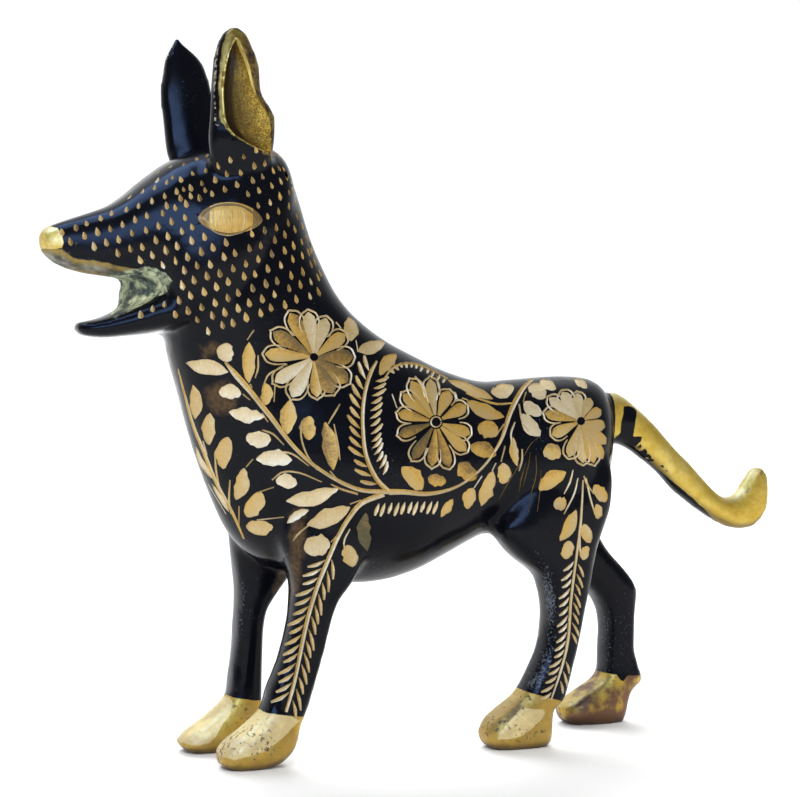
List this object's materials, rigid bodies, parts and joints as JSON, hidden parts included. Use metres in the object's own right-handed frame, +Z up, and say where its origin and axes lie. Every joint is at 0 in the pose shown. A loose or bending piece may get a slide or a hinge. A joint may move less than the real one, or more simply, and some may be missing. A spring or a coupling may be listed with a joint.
{
  "type": "dog figurine",
  "caption": "Standing dog figurine with pricked ears, an open mouth and a hooked tail, cast whole on flat paws.",
  "frame": {"origin": "on the surface that the paws stand on, under the middle of the dog's box", "axes": "+Z up, -X towards the nose, +X towards the tail, -Y to the dog's left"},
  "size_m": [0.2246, 0.049, 0.2019],
  "materials": {
    "lacquered_brass": "gloss black lacquer, cut through to bright brass"
  },
  "bodies": {
    "root": {"dog": "lacquered_brass"}
  },
  "joints": []
}
